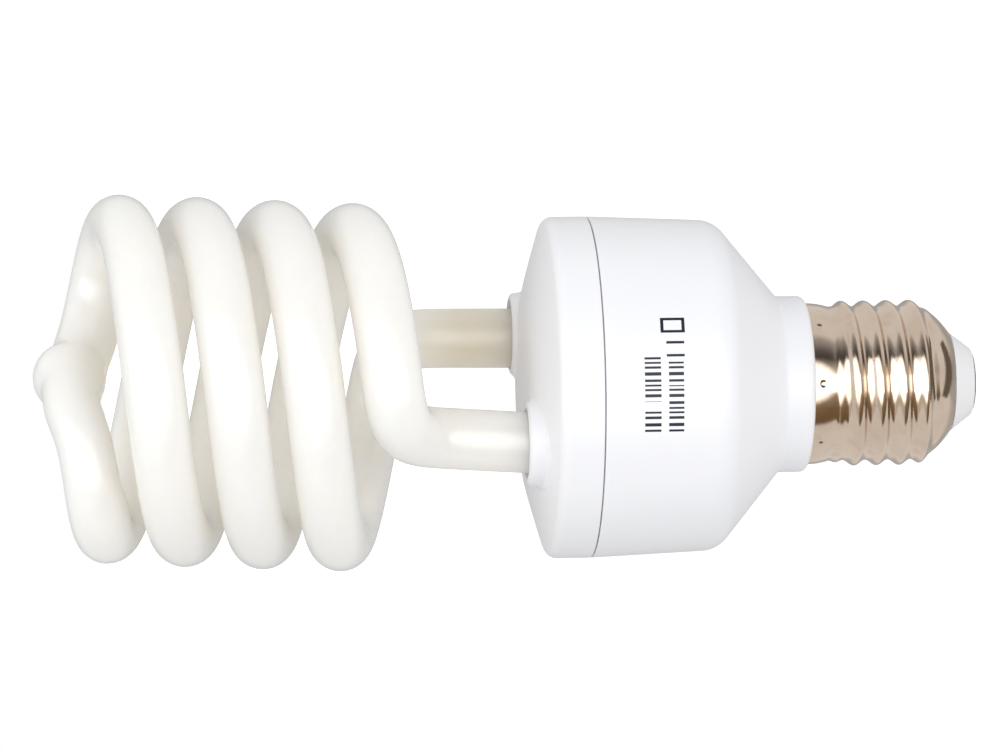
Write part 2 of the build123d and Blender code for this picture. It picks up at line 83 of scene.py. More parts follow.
# Housing and cover
NECK_R = 14.0
CONE_HEIGHT = 31.55
CONE_SLOPE = np.tan(np.radians(50.5))
BODY_R = 26.2
BODY_HEIGHT = CONE_HEIGHT + (BODY_R - NECK_R) / CONE_SLOPE
SEAM_R = 27.05
SEAM_HEIGHT = 61.6
SEAM_GAP = 0.22
SEAM_DEPTH = 1.0
HOUSING_WALL = 1.6
RIM_HEIGHT = 68.25
FACE_R = 14.8
FACE_HEIGHT = 72.0
COLLAR_X = 8.6
COLLAR_Y = 13.0
COLLAR_R = 6.6
COLLAR_BORE_R = 5.6
COLLAR_LIP = 0.7
COLLAR_DRAFT = 0.4
COLLAR_FLARE = 0.55
COLLAR_FLARE_REACH = 0.22
COLLAR_EASE = 0.12
FACE_EASE = 1.6
COVER_EDGE_R = 1.7
COVER_FLOOR_DROP = 1.6
CEMENT_INNER_R = 3.7
CEMENT_SINK = 0.95
CEMENT_BOTTOM = 2.2

# Glass. The places and reaches near the tip are lengths along the tube from its middle.
TUBE_R = 4.75
TUBE_STEP = 0.7
TUBE_COLUMNS = 88
COIL_R = 24.48
STEP = 12.27
COIL_TURNS = 1.75
COIL_TOP = 136.66
LEG_Y = 13.0
LEG_TOP_X = 7.9
LEG_TOP_SHIFT = 0.25
LEG_TOP = 84.8
LEG_FOOT_X = 8.4
LEG_FOOT_SHIFT = -0.5
LEG_FOOT = 66.4
LEG_PULL = 7.0
COIL_PULL = 7.5
PIVOT_HEIGHT = 88.27
LEAN_UP = np.radians(2.78)
LEAN_BACK = np.radians(1.23)
NIPPLE_R = 5.4
NIPPLE_TOP = 149.2
NIPPLE_EASE = 0.6
TIP_REACH = 10.0
TIP_STRAIGHT_REACH = 20.0
TIP_LIFT = 0.7
TIP_BULGE = 0.1
NECK_LIFT = 1.0
NECK_PLACE = 9.0
NECK_REACH = 6.5
PINCH_PLACE = 7.5
PINCH_REACH = 1.5
PINCH_DEPTH = 0.1
THIN_PLACE = 16.0
THIN_REACH = 10.0
THIN_DEPTH = 0.42

# Camera, from the photograph
IMAGE_WIDTH_PX = 1001
CAMERA_DISTANCE = 900.0
SCALE_PX_PER_MM = 6.325
CAMERA_YAW = np.radians(5.232)
CAMERA_ROLL = np.radians(-0.846)
PIVOT_RIGHT = -12.805
PIVOT_UP = -2.303
SENSOR_WIDTH = 36.0

# Surroundings
WORLD_LIGHT = 0.715
WORLD_GLOSS = 0.85
FLOOR_HEIGHT = -520.0
FLOOR_REACH_M = 30.0
FLOOR_GLOW = 0.55
CARD_COLUMNS = 96
CARD_R = 700.0
CARD_LOW = -3000.0
CARD_HIGH = 3000.0
CARD_GLOW = 2.4
CARD_HEART = 15.0
CARD_OVAL_MIDDLE = (2.0, 45.0)
CARD_OVAL_REACH = (39.0, 95.0)
CARD_SLOT = 22.0
CARD_SLOT_REACH = 5.0
CARD_SLOT_SHARE = 0.75

# Stops of the round card: the angle from the side of -y in degrees, and the colour there.
CARD_START = [
    (-180, (0.5, 0.5, 0.5)), (-158, (0.5, 0.5, 0.5)),
    (-145, (0.85, 0.85, 0.85)), (-63, (0.85, 0.85, 0.85))]
CARD_END = [
    (76, (0.85, 0.85, 0.85)), (145, (0.85, 0.85, 0.85)),
    (158, (0.45, 0.45, 0.45)), (180, (0.45, 0.45, 0.45))]
CARD_LOW_SIDE = CARD_START + [
    (-59, (0.17, 0.11, 0.055)), (-36, (0.26, 0.18, 0.10)), (-6, (0.5, 0.44, 0.36)),
    (15, (0.72, 0.69, 0.65)), (38, (0.5, 0.48, 0.45)), (66, (0.7, 0.69, 0.67))] + CARD_END
CARD_HIGH_SIDE = CARD_START + [
    (-50, (0.62, 0.57, 0.5)), (-20, (0.7, 0.67, 0.62)), (20, (0.6, 0.57, 0.53)),
    (38, (0.07, 0.065, 0.055)), (48, (0.13, 0.125, 0.13)), (66, (0.45, 0.44, 0.43))] + CARD_END

# Materials


class Socket:
    """A value in a node tree that can be used in sums like a number."""

    def __init__(self, tree, output):
        self.tree = tree
        self.output = output

    def node(self, kind, values=(), settings=None, output=0, stops=None):
        """Adds a node, sets its settings, then its inputs, and returns one of its outputs."""
        made = self.tree.nodes.new(kind)
        for name, setting in (settings or {}).items():
            setattr(made, name, setting)
        if stops:
            ramp = made.color_ramp
            while len(ramp.elements) < len(stops):
                ramp.elements.new(0.5)
            for element, (place, colour) in zip(ramp.elements, stops):
                element.position = place
                element.color = colour
        for name, value in dict(values).items():
            if isinstance(value, Socket):
                self.tree.links.new(value.output, made.inputs[name])
            else:
                made.inputs[name].default_value = value
        return Socket(self.tree, made.outputs[output])

    def maths(self, operation, *others):
        """Adds a Math node that works on this value and the others."""
        values = dict(enumerate((self, *others)))
        return self.node("ShaderNodeMath", values, {"operation": operation})

    def __add__(self, other):
        return self.maths("ADD", other)

    def __mul__(self, other):
        return self.maths("MULTIPLY", other)

    def __sub__(self, other):
        return self.maths("SUBTRACT", other)

    def __rsub__(self, other):
        return (self * -1.0) + other

    def between(self, low, high):
        """1 where the value lies between two numbers, else 0."""
        return self.maths("GREATER_THAN", low) * self.maths("LESS_THAN", high)

    def ramp(self, low, high):
        """Rises smoothly from 0 at low to 1 at high."""
        values = {"Value": self, "From Min": low, "From Max": high}
        return self.node("ShaderNodeMapRange", values, {"interpolation_type": "SMOOTHSTEP"})

    def mix(self, first, second):
        """Blends two colours, with this value as the share of the second."""
        values = {0: self, 6: first, 7: second}
        return self.node("ShaderNodeMix", values, {"data_type": "RGBA"}, output=2)


class Finish:
    """A material under construction: its shader, its Object coordinates and its patterns."""

    def __init__(self, name, **constants):
        self.material = bpy.data.materials.new(name)
        self.material.use_nodes = True
        self.tree = self.material.node_tree
        self.shader = self.tree.nodes["Principled BSDF"]
        for socket, value in constants.items():
            self.shader.inputs[socket.replace("_", " ")].default_value = value
        self.base = Socket(self.tree, None)
        self.place = self.base.node("ShaderNodeTexCoord", output=3)

    def feed(self, **links):
        """Links patterns to the shader's sockets."""
        for socket, value in links.items():
            self.tree.links.new(value.output, self.shader.inputs[socket.replace("_", " ")])

    def axes(self):
        """The three Object coordinates in millimetres."""
        return [self.base.node("ShaderNodeSeparateXYZ", {0: self.place}, output=i) * (1 / MM)
                for i in range(3)]

    def noise(self, size, detail=2.0, stretch=(1, 1, 1)):
        """Soft noise with blotches of a size in millimetres."""
        scale = {"Vector": self.place, "Scale": [1 / (size * MM * s) for s in stretch]}
        spread = self.base.node("ShaderNodeMapping", scale)
        values = {"Vector": spread, "Scale": 1.0, "Detail": detail}
        return self.base.node("ShaderNodeTexNoise", values)

    def bump(self, height, depth):
        """Feeds the shader's Normal from a height pattern with a depth in millimetres."""
        values = {"Strength": 1.0, "Distance": depth * MM, "Height": height}
        self.feed(Normal=self.base.node("ShaderNodeBump", values))


def shade(r, g, b):
    """A colour with full alpha."""
    return (r, g, b, 1.0)


INK = shade(0.012, 0.015, 0.03)
STROKE_STEP = 0.86

# Print on the housing: each block's range of height and its ranges across, in millimetres.
STROKE_BLOCKS = [
    ((52.95, 55.5), ((-7.1, -3.6), (-2.35, 4.6))),
    ((49.4, 51.75), ((-7.2, 0.2), (0.5, 3.8)))]
BAR_BLOCK = ((49.2, 52.0), ((4.6, 5.0), (6.6, 7.0)))
SQUARE_OUTSIDE = ((49.0, 52.8), (8.3, 10.6))
SQUARE_INSIDE = ((49.5, 52.3), (8.7, 10.2))


def glass_finish():
    """Glossy glass over a white coating, which is warmer and thinner in the legs; the far leg also
    gets a darker tint, which is painted shade, and a weaker coat.
    """
    made = Finish("coated_glass", Roughness=0.35, IOR=1.5, Coat_Roughness=0.09,
                  Subsurface_Weight=0.9, Subsurface_Radius=(1.0, 0.87, 0.66), Subsurface_Scale=0.02)
    cloud = made.noise(14).ramp(0.35, 0.7)
    fine = made.noise(1.6, 3.0).ramp(0.3, 0.75)
    _, y, z = made.axes()
    leg = 1.0 - z.ramp(80.0, 92.0)
    # The far leg's darker tint is painted shade: that leg sits in the shade of the coil and the
    # housing, and its weaker coat dims its highlight.
    far_leg_painted_shade = leg * y.ramp(-4.0, 4.0)
    colour = cloud.mix(shade(0.94, 0.895, 0.825), shade(0.925, 0.87, 0.79))
    colour = (fine * 0.35).mix(colour, shade(0.935, 0.9, 0.85))
    made.feed(Base_Color=(leg * 0.25 + far_leg_painted_shade * 0.7).mix(colour, shade(0.72, 0.66, 0.56)),
              Coat_Weight=0.6 - far_leg_painted_shade * 0.45)
    made.bump(made.noise(9.0), 0.05)
    return made.material


def stroke_rows(made):
    """Two rows of short strokes, two bars and a hollow square, on the side at -y.

    The strokes are where a sine across the bulb, whose phase another sine shifts, is high.
    """
    x, y, z = made.axes()
    wave = (x * (TURN / STROKE_STEP) + (x * 1.7).maths("SINE") * 1.2).maths("SINE")
    strokes = wave.ramp(-0.1, 0.35)
    first, second, bars = [
        z.between(*heights) * (x.between(*left) + x.between(*right))
        for heights, (left, right) in (*STROKE_BLOCKS, BAR_BLOCK)]
    outside, inside = [
        z.between(*heights) * x.between(*widths)
        for heights, widths in (SQUARE_OUTSIDE, SQUARE_INSIDE)]
    return ((first + second) * strokes + bars + outside - inside) * y.maths("LESS_THAN", 0.0)


def plastic_finish(name, colour, low, roughness=0.38, printed=False):
    """Moulded plastic with faint flow marks and a fine grain, printed where asked."""
    made = Finish(name, IOR=1.48, Specular_IOR_Level=0.3, Coat_Weight=0.05, Coat_Roughness=0.25)
    flow = made.noise(18, 2.0, (1, 1, 3)).ramp(0.3, 0.7)
    grain = made.noise(0.35, 2.0)
    tone = flow.mix(colour, low)
    if printed:
        tone = stroke_rows(made).mix(tone, INK)
    made.feed(Base_Color=tone, Roughness=grain * 0.12 + (roughness - 0.06))
    made.bump(grain, 0.006)
    return made.material


def metal_finish():
    """Nickel-plated shell with faint rolling lines round the axis and small stains."""
    made = Finish("nickel_shell", Metallic=1.0)
    lines = made.noise(0.16, 2.0, (90, 90, 1))
    stain = made.noise(2.2, 4.0).ramp(0.52, 0.8)
    cloud = made.noise(5.0).ramp(0.35, 0.7)
    warm = cloud.mix(shade(0.68, 0.56, 0.455), shade(0.64, 0.515, 0.41))
    made.feed(Base_Color=(stain * 0.4).mix(warm, shade(0.5, 0.37, 0.26)),
              Roughness=lines * 0.05 + cloud * 0.04 + 0.08)
    made.bump(lines, 0.004)
    return made.material


def plain_finish(name, colour, roughness, metallic=0.0):
    """A component's finish: its colour varies a little, and so does its gloss."""
    made = Finish(name, Metallic=metallic)
    mottle = made.noise(1.2, 3.0).ramp(0.3, 0.7)
    dark = shade(*[c * 0.8 for c in colour])
    made.feed(Base_Color=mottle.mix(shade(*colour), dark), Roughness=mottle * 0.1 + roughness)
    made.bump(made.noise(0.4), 0.01)
    return made.material


# Surfaces


def smooth_step(value, low, high):
    """Rises from 0 at low to 1 at high without a corner, for whole arrays."""
    share = np.clip((value - low) / (high - low), 0.0, 1.0)
    return share * share * (3 - 2 * share)


def surface(name, points, material, replaces=(), closed_v=False):
    """Makes a mesh from a grid of points (rows, columns, 3) in millimetres.

    Columns always close on themselves. Rows close too where closed_v is true. Rows of one
    repeated point are poles, which merging closes.
    """
    rows, columns = points.shape[:2]
    index = np.arange(rows * columns).reshape(rows, columns)
    lower = index if closed_v else index[:-1]
    upper = np.roll(index, -1, axis=0) if closed_v else index[1:]
    faces = np.stack([
        lower, np.roll(lower, -1, axis=1), np.roll(upper, -1, axis=1), upper], axis=-1)
    mesh = bpy.data.meshes.new(name)
    mesh.from_pydata((points.reshape(-1, 3) * MM).tolist(), [], faces.reshape(-1, 4).tolist())
    body = bmesh.new()
    body.from_mesh(mesh)
    bmesh.ops.remove_doubles(body, verts=body.verts, dist=1e-7)
    bmesh.ops.recalc_face_normals(body, faces=body.faces)
    body.to_mesh(mesh)
    body.free()
    mesh.polygons.foreach_set("use_smooth", np.ones(len(mesh.polygons), dtype=bool))
    mesh.materials.append(material)
    piece = bpy.data.objects.new(name, mesh)
    bpy.context.collection.objects.link(piece)
    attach(piece, "root")
    if replaces:
        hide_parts(*replaces)
    return piece


def path_length(path):
    """Length along a path at each of its points."""
    return np.concatenate([[0], np.cumsum(np.linalg.norm(np.diff(path, axis=0), axis=1))])


def at_places(path, length, places):
    """Points of a path at given places along it, by straight lines between its points."""
    return np.stack([np.interp(places, length, axis) for axis in path.T], axis=1)


def rounded(corners, spacing=0.25):
    """Outline through (radius, height, fillet) corners, with each fillet drawn as an arc.

    An arc's points are the corner's two tangent points joined by equal turns about the
    centre, and straight runs are divided at the given spacing.
    """
    corners = np.array(corners, dtype=float)
    points = [corners[:1, :2]]
    for before, here, after in zip(corners[:-2], corners[1:-1], corners[2:]):
        inward = (before[:2] - here[:2]) / np.linalg.norm(before[:2] - here[:2])
        outward = (after[:2] - here[:2]) / np.linalg.norm(after[:2] - here[:2])
        half = np.arccos(np.clip(inward @ outward, -1, 1)) / 2
        if here[2] <= 0 or half > 1.57:
            points.append(here[None, :2])
            continue
        reach = here[2] / np.tan(half)
        middle = (inward + outward) / np.linalg.norm(inward + outward)
        centre = here[:2] + middle * here[2] / np.sin(half)
        start = here[:2] + inward * reach - centre
        end = here[:2] + outward * reach - centre
        sweep = np.arctan2(start[0] * end[1] - start[1] * end[0], start @ end)
        turn = np.linspace(0, sweep, max(5, int(abs(sweep) * here[2] / spacing) + 2))[:, None]
        side = np.array([-start[1], start[0]])
        points.append(centre + start * np.cos(turn) + side * np.sin(turn))
    points.append(corners[-1:, :2])
    path = np.concatenate(points)
    length = path_length(path)
    extra = np.linspace(0, length[-1], int(length[-1] / (4 * spacing)) + 2)
    return at_places(path, length, np.union1d(length, extra))


def turned(name, outline, material, replaces=(), columns=256, closed_v=False):
    """Turns an outline of (radius, height) about the bulb's axis: x = r cos t, y = r sin t."""
    angle = np.linspace(0, TURN, columns, endpoint=False)
    radius, height = outline[:, :1], outline[:, 1:]
    points = np.stack([
        radius * np.cos(angle), radius * np.sin(angle), height + 0 * angle], axis=-1)
    return surface(name, points, material, replaces, closed_v)


# Glass tube


def leaned(points):
    """Turns points about the pivot on the axis, as the glass sits in its collars."""
    back = np.array(Matrix.Rotation(-LEAN_BACK, 3, "X"))
    up = np.array(Matrix.Rotation(LEAN_UP, 3, "Y"))
    pivot = np.array([0, 0, PIVOT_HEIGHT])
    return (points - pivot) @ (back @ up).T + pivot


def strand(side):
    """Centre line of one strand, from under its collar to the middle of the top.

    A straight leg, a cubic curve that turns outward, a helix of radius COIL_R whose height
    grows by 2 STEP a turn, and half a turn of half that radius that ends on the axis.
    """
    turn = np.linspace(-TURN * COIL_TURNS, 0, 500)[:, None]
    coil = np.concatenate([
        COIL_R * np.cos(turn), COIL_R * np.sin(turn), COIL_TOP + 2 * STEP * turn / TURN], axis=1)
    inward = np.linspace(0, np.pi, 120)[1:, None]
    bridge = np.concatenate([
        COIL_R / 2 * (1 + np.cos(inward)), COIL_R / 2 * np.sin(inward),
        COIL_TOP + STEP * inward / TURN], axis=1)
    flip = np.array([side, side, 1.0])
    coil, bridge = leaned(coil * flip), leaned(bridge * flip)
    foot = np.array([side * LEG_FOOT_X + LEG_FOOT_SHIFT, side * LEG_Y, LEG_FOOT])
    top = np.array([side * LEG_TOP_X + LEG_TOP_SHIFT, side * LEG_Y, LEG_TOP])
    along = (top - foot) / np.linalg.norm(top - foot)
    start = coil[0]
    ahead = (coil[1] - coil[0]) / np.linalg.norm(coil[1] - coil[0])
    share = np.linspace(0, 1, 80)[:, None]
    bend = ((1 - share) ** 3 * top + 3 * (1 - share) ** 2 * share * (top + along * LEG_PULL)
            + 3 * (1 - share) * share ** 2 * (start - ahead * COIL_PULL) + share ** 3 * start)
    leg = (foot - along * TUBE_R) + np.linspace(0, 1, 60)[:-1, None] * (top - foot + along * TUBE_R)
    return np.concatenate([leg, bend[:-1], coil[:-1], bridge])


def even(path, spacing):
    """The same path with points at equal steps of its length, and the length at each."""
    length = path_length(path)
    places = np.linspace(0, length[-1], int(length[-1] / spacing) + 1)
    return at_places(path, length, places), places


def softened(path, spread):
    """The path with its corners eased by a bell-shaped average over a few steps."""
    reach = np.arange(-3 * spread, 3 * spread + 1)
    weights = np.exp(-0.5 * (reach / spread) ** 2)
    weights /= weights.sum()
    ends = 2 * path[:1] - path[3 * spread:0:-1], 2 * path[-1:] - path[-2:-3 * spread - 2:-1]
    padded = np.concatenate([ends[0], path, ends[1]])
    return np.stack([np.convolve(padded[:, i], weights, "valid") for i in range(3)], axis=1)


def frames(path):
    """Two directions across the path at each point.

    The first is the cross product of the path's direction and a slanting line that the path
    is never parallel to, and the second is at right angles to both.
    """
    tangent = np.gradient(path, axis=0)
    tangent /= np.linalg.norm(tangent, axis=1)[:, None]
    across = np.cross(tangent, (1.0, 0.0, 1.0))
    across /= np.linalg.norm(across, axis=1)[:, None]
    return across, np.cross(tangent, across)


def hump(distance, reach, power=2):
    """exp(-(distance / reach) ** power): 1 in the middle, falling to 0 on both sides."""
    return np.exp(-(distance / reach) ** power)


def glass_tube(material):
    """The whole glass: circles carried along both strands, joined at the top.

    Near the tip the path is eased and lifted by humps. A circle's radius is TUBE_R with a slow
    waver, rounded off at each foot by sqrt(1 - (1 - d / TUBE_R) ** 2) for the distance d from
    the end, pinched and thinned beside the tip. Where the ball of the swollen tip reaches
    further out, the radius is the soft maximum e ln(exp(tube / e) + exp(ball / e)).
    """
    path, places = even(np.concatenate([strand(1), strand(-1)[-2::-1]]), TUBE_STEP)
    path = softened(path, 3)
    from_tip = places - places[-1] / 2
    share = hump(from_tip, TIP_STRAIGHT_REACH, 4)[:, None]
    path = path * (1 - share) + softened(path, 9) * share
    thinner = THIN_DEPTH * hump(from_tip - THIN_PLACE, THIN_REACH, 4)
    path[:, 2] += TIP_LIFT * hump(from_tip, TIP_REACH)
    path[:, 2] += NECK_LIFT * hump(from_tip - NECK_PLACE, NECK_REACH)
    path[:, 2] += thinner
    across, side = frames(path)
    angle = np.linspace(0, TURN, TUBE_COLUMNS, endpoint=False)[None, :, None]
    ray = across[:, None] * np.cos(angle) + side[:, None] * np.sin(angle)
    end = np.minimum(places, places[-1] - places)
    rounding = np.sqrt(np.clip(1 - (1 - np.clip(end / TUBE_R, 0, 1)) ** 2, 0, 1))
    waver = 0.03 * np.sin(places / 17.0) + 0.025 * np.sin(places / 7.3 + 1.0)
    pinch = PINCH_DEPTH * hump(np.abs(from_tip) - PINCH_PLACE, PINCH_REACH) + thinner
    bulge = TIP_BULGE * hump(from_tip, TIP_REACH)
    tube = ((TUBE_R + waver + bulge - pinch) * rounding)[:, None] * np.ones(TUBE_COLUMNS)
    ball = leaned(np.array([0, 0, NIPPLE_TOP - NIPPLE_R]))
    offset = path[:, None] - ball
    middle = (offset * ray).sum(-1)
    inside = middle ** 2 - (offset ** 2).sum(-1) + NIPPLE_R ** 2
    swell = np.where(inside > 0, -middle + np.sqrt(np.clip(inside, 0, None)), 0)
    swell = np.where(np.abs(from_tip)[:, None] < 3 * NIPPLE_R, swell, 0)
    joined = NIPPLE_EASE * np.logaddexp(tube / NIPPLE_EASE, swell / NIPPLE_EASE)
    radius = np.maximum(np.where(swell > 0, joined, tube), tube)
    points = path[:, None] + ray * radius[..., None]
    return surface("glass_tube", points, material, ["discharge_tube"])


# Screw cap


def shell_radius(height):
    """Radius of the shell without its thread.

    A shoulder that eases from the open end to the root as one minus a power of what is left
    of its height, then the root, then a skirt that falls away from its end by a power too.
    """
    left = np.clip((SHOULDER_END - height) / (SHOULDER_END - SHELL_OPEN_HEIGHT), 0, 1)
    shoulder = THREAD_ROOT_R - (THREAD_ROOT_R - SHELL_OPEN_R) * left ** SHOULDER_CURVE
    reach = CAP_LENGTH - SKIRT_HEIGHT + SKIRT_OVERLAP
    fall = np.clip((CAP_LENGTH - height) / reach, 0, 1) ** SKIRT_CURVE
    return shoulder + (SKIRT_R - THREAD_ROOT_R) * (1 - fall)


def screw_shell(material):
    """The rolled shell: the thread is a wave whose crest turns once in each pitch of height.

    A point's radius is the shell's plain radius plus half the thread's depth times
    1 + cos(angle - phase). Each staking dimple is a bell-shaped dent with a low rim.
    """
    angle = np.linspace(0, TURN, SHELL_COLUMNS, endpoint=False)
    height = np.concatenate([
        np.linspace(SHELL_OPEN_HEIGHT, SKIRT_HEIGHT, 140),
        np.linspace(SKIRT_HEIGHT, CAP_LENGTH, 34)[1:]])
    grow = smooth_step(height, THREAD_START, THREAD_START + THREAD_FADE)
    fade = smooth_step(SKIRT_HEIGHT - height, 0, THREAD_FADE)
    depth = (THREAD_CREST_R - THREAD_ROOT_R) * grow * fade
    phase = TURN * (height - THREAD_CREST_HEIGHT) / THREAD_PITCH
    wave = 0.5 + 0.5 * np.cos(angle - phase[:, None])
    outer = shell_radius(height)[:, None] + depth[:, None] * wave
    spread = TURN / DIMPLE_COUNT
    across = ((angle + spread / 2) % spread - spread / 2) * SKIRT_R
    away = np.hypot(across, (height - DIMPLE_HEIGHT)[:, None])
    outer = outer - DIMPLE_DEPTH * hump(away, DIMPLE_R, 4)
    outer = outer + DIMPLE_RIM_HEIGHT * hump(away - 1.6 * DIMPLE_R, DIMPLE_RIM_WIDTH)
    inner = (outer - SHELL_WALL)[::-SHELL_INNER_SKIP]
    radius = np.concatenate([outer, inner])
    level = np.concatenate([height, height[::-SHELL_INNER_SKIP]])[:, None] + 0 * angle
    points = np.stack([radius * np.cos(angle), radius * np.sin(angle), level], axis=-1)
    return surface("rolled_shell", points, material, ["screw_shell"], closed_v=True)


def insulator(material):
    """Plug at the tip: a cone with a rounded nose round the contact."""
    bore = CONTACT_R + 0.03
    top = SHELL_OPEN_HEIGHT + INSULATOR_FOOT
    outline = rounded([
        (bore, CONTACT_THICKNESS, 0), (bore, INSULATOR_FACE, 0.06),
        (CONTACT_R + 0.5, INSULATOR_FACE, 0.35),
        (SHELL_OPEN_R - JOINT_GAP, SHELL_OPEN_HEIGHT - 0.05, 0.12),
        (SHELL_OPEN_R - 0.4, SHELL_OPEN_HEIGHT - JOINT_GAP, 0), (SHELL_OPEN_R - 0.4, top, 0),
        (INSULATOR_BORE_R, top, 0), (INSULATOR_BORE_R, CONTACT_THICKNESS, 0)], 0.08)
    return turned(
        "tip_insulator", outline, material, ["base_insulator"], closed_v=True)


def contact(material):
    """Contact plate: a flat disc with a rolled edge and a shallow ring pressed into it."""
    back = CONTACT_THICKNESS - JOINT_GAP
    outline = rounded([
        (0, 0.03, 0), (1.3, 0.03, 0.4), (1.7, 0.16, 0.2), (2.2, 0.02, 0.2),
        (CONTACT_R - 0.1, 0.0, 0.3), (CONTACT_R, 0.35, 0.1), (CONTACT_R, back, 0),
        (0, back, 0)], 0.05)
    return turned(
        "contact_plate", outline, material, ["centre_contact"], columns=160)


# Housing and cover


def housing(material):
    """Neck, cone, rounded shoulder and drafted body down to the seam, with its inner wall."""
    wall, lip = HOUSING_WALL, SEAM_HEIGHT - SEAM_GAP / 2
    outline = rounded([
        (SKIRT_R + JOINT_GAP, CAP_LENGTH, 0), (NECK_R, CAP_LENGTH, 1.1), (NECK_R, CONE_HEIGHT, 1.0),
        (BODY_R, BODY_HEIGHT, 5.0), (SEAM_R, lip, 0.12), (SEAM_R - SEAM_DEPTH, lip, 0),
        (SEAM_R - SEAM_DEPTH, SEAM_HEIGHT, 0), (SEAM_R - wall, SEAM_HEIGHT, 0),
        (BODY_R - wall, BODY_HEIGHT + 1, 3.4), (NECK_R - wall, CONE_HEIGHT + 1, 2.0),
        (NECK_R - wall, CAP_LENGTH + 2, 0),
        (SKIRT_R - 1.5, CAP_LENGTH + 1.5, 0), (SKIRT_R - 1.5, CAP_LENGTH, 0)])
    return turned(
        "housing_shell", outline, material, ["ballast_housing"], closed_v=True)


def dome_height(radius):
    """Height of the cover's face at a distance from the axis: flat, an easing arc, a cone."""
    slope = (FACE_HEIGHT - RIM_HEIGHT) / (SEAM_R - FACE_R)
    return FACE_HEIGHT - slope * FACE_EASE * np.logaddexp(0, (radius - FACE_R) / FACE_EASE)


def cover(material):
    """Rim, rounded edge and domed face, closed underneath."""
    out = np.linspace(0, SEAM_R - 1.6, 120)
    face = np.stack([out, dome_height(out)], axis=1)
    lip, under = SEAM_HEIGHT + SEAM_GAP / 2, RIM_HEIGHT - COVER_FLOOR_DROP
    edge = rounded([
        (face[-1, 0], face[-1, 1], 0), (SEAM_R, dome_height(SEAM_R), COVER_EDGE_R),
        (SEAM_R, lip, 0.12), (SEAM_R - SEAM_DEPTH, lip, 0), (SEAM_R - SEAM_DEPTH, SEAM_HEIGHT, 0),
        (SEAM_R - HOUSING_WALL, SEAM_HEIGHT, 0), (SEAM_R - HOUSING_WALL, under, 0),
        (0, under, 0)], 0.15)
    outline = np.concatenate([face, edge[1:]])
    return turned("cover_shell", outline, material, ["tube_cover"])


def collar(side, material):
    """Ring round a leg: a round lip, a drafted wall and a small fillet onto the dome.

    The lip and wall are turned about the collar's own axis. Near the dome the radius grows by
    an exponential of the height above it, and the height ends on it by a soft maximum.
    """
    mouth = FACE_HEIGHT + COLLAR_LIP
    outline = rounded([
        (COLLAR_BORE_R, mouth - 2.4, 0), (COLLAR_BORE_R, mouth, 0.08), (COLLAR_R, mouth, 0.88),
        (COLLAR_R + COLLAR_DRAFT, mouth - 5.0, 0)], 0.05)
    angle = np.linspace(0, TURN, 224, endpoint=False)
    radius, height = outline[:, :1] + 0 * angle, outline[:, 1:] + 0 * angle
    outside = radius > COLLAR_R - 0.85

    def place(reach):
        """x and y at a distance from the collar's own axis."""
        return side * COLLAR_X + reach * np.cos(angle), side * COLLAR_Y + reach * np.sin(angle)

    above = height - dome_height(np.hypot(*place(radius)))
    flare = np.where(
        outside, COLLAR_FLARE * np.exp(-np.maximum(above, 0) / COLLAR_FLARE_REACH), 0)
    x, y = place(radius + flare)
    ground = dome_height(np.hypot(x, y)) - 0.04
    eased = ground + COLLAR_EASE * np.logaddexp(0, (height - ground) / COLLAR_EASE)
    height = np.where(outside, eased, height)
    points = np.stack([x, y, height], axis=-1)
    return surface(f"collar_{'far' if side > 0 else 'near'}", points, material)


def cement(side, material):
    """Rough paste in a collar, from its bore to the leg, sunk a little.

    Its height is a sum of sine waves round the leg, whose phases change across the ring.
    """
    angle = np.linspace(0, TURN, 300, endpoint=False)
    share = np.linspace(0, 1, 16)[:, None]
    radius = CEMENT_INNER_R + (COLLAR_BORE_R + 0.05 - CEMENT_INNER_R) * share
    lumps = (0.35 * np.sin(5 * angle + side) * np.sin(3 * angle + 2 * share)
             + 0.14 * np.sin(19 * angle + 5 * share) + 0.1 * np.sin(43 * angle - 6 * share))
    top = FACE_HEIGHT + COLLAR_LIP
    height = top - CEMENT_SINK + lumps - 0.35 * share ** 2
    x, y = side * COLLAR_X + radius * np.cos(angle), side * COLLAR_Y + radius * np.sin(angle)
    upper = np.stack([x, y, height], axis=-1)
    under = upper[::-1].copy()
    under[..., 2] = top - CEMENT_BOTTOM
    points = np.concatenate([upper, under])
    name = f"cement_{'far' if side > 0 else 'near'}"
    replaces = ["tube_cement"] if side > 0 else ()
    return surface(name, points, material, replaces, closed_v=True)


# Studio


def set_camera():
    """Long lens at the photograph's angle: level with the bulb, its glass slightly nearer."""
    yaw, roll = CAMERA_YAW, CAMERA_ROLL
    z_seen = np.array([-np.cos(yaw) * np.cos(roll), np.sin(roll), -np.sin(yaw) * np.cos(roll)])
    x_seen = np.array([0, 1.0, 0]) - z_seen * z_seen[1]
    x_seen /= np.linalg.norm(x_seen)
    y_seen = -np.cross(z_seen, x_seen)
    y_seen *= np.sign(y_seen[2])
    seen = np.stack([x_seen, y_seen, z_seen], axis=1)
    right, up, ahead = seen
    pivot = np.array([0, 0, PIVOT_HEIGHT])
    place = pivot - PIVOT_RIGHT * right - PIVOT_UP * up - CAMERA_DISTANCE * ahead
    data = bpy.data.cameras.new("camera")
    data.sensor_fit = "HORIZONTAL"
    data.sensor_width = SENSOR_WIDTH
    data.lens = SCALE_PX_PER_MM * CAMERA_DISTANCE * SENSOR_WIDTH / IMAGE_WIDTH_PX
    data.clip_start = 0.01
    camera = bpy.data.objects.new("camera", data)
    turn = Matrix([list(right), list(up), list(-ahead)]).transposed().to_4x4()
    camera.matrix_world = Matrix.Translation(Vector(place) * MM) @ turn
    bpy.context.collection.objects.link(camera)
    bpy.context.scene.camera = camera


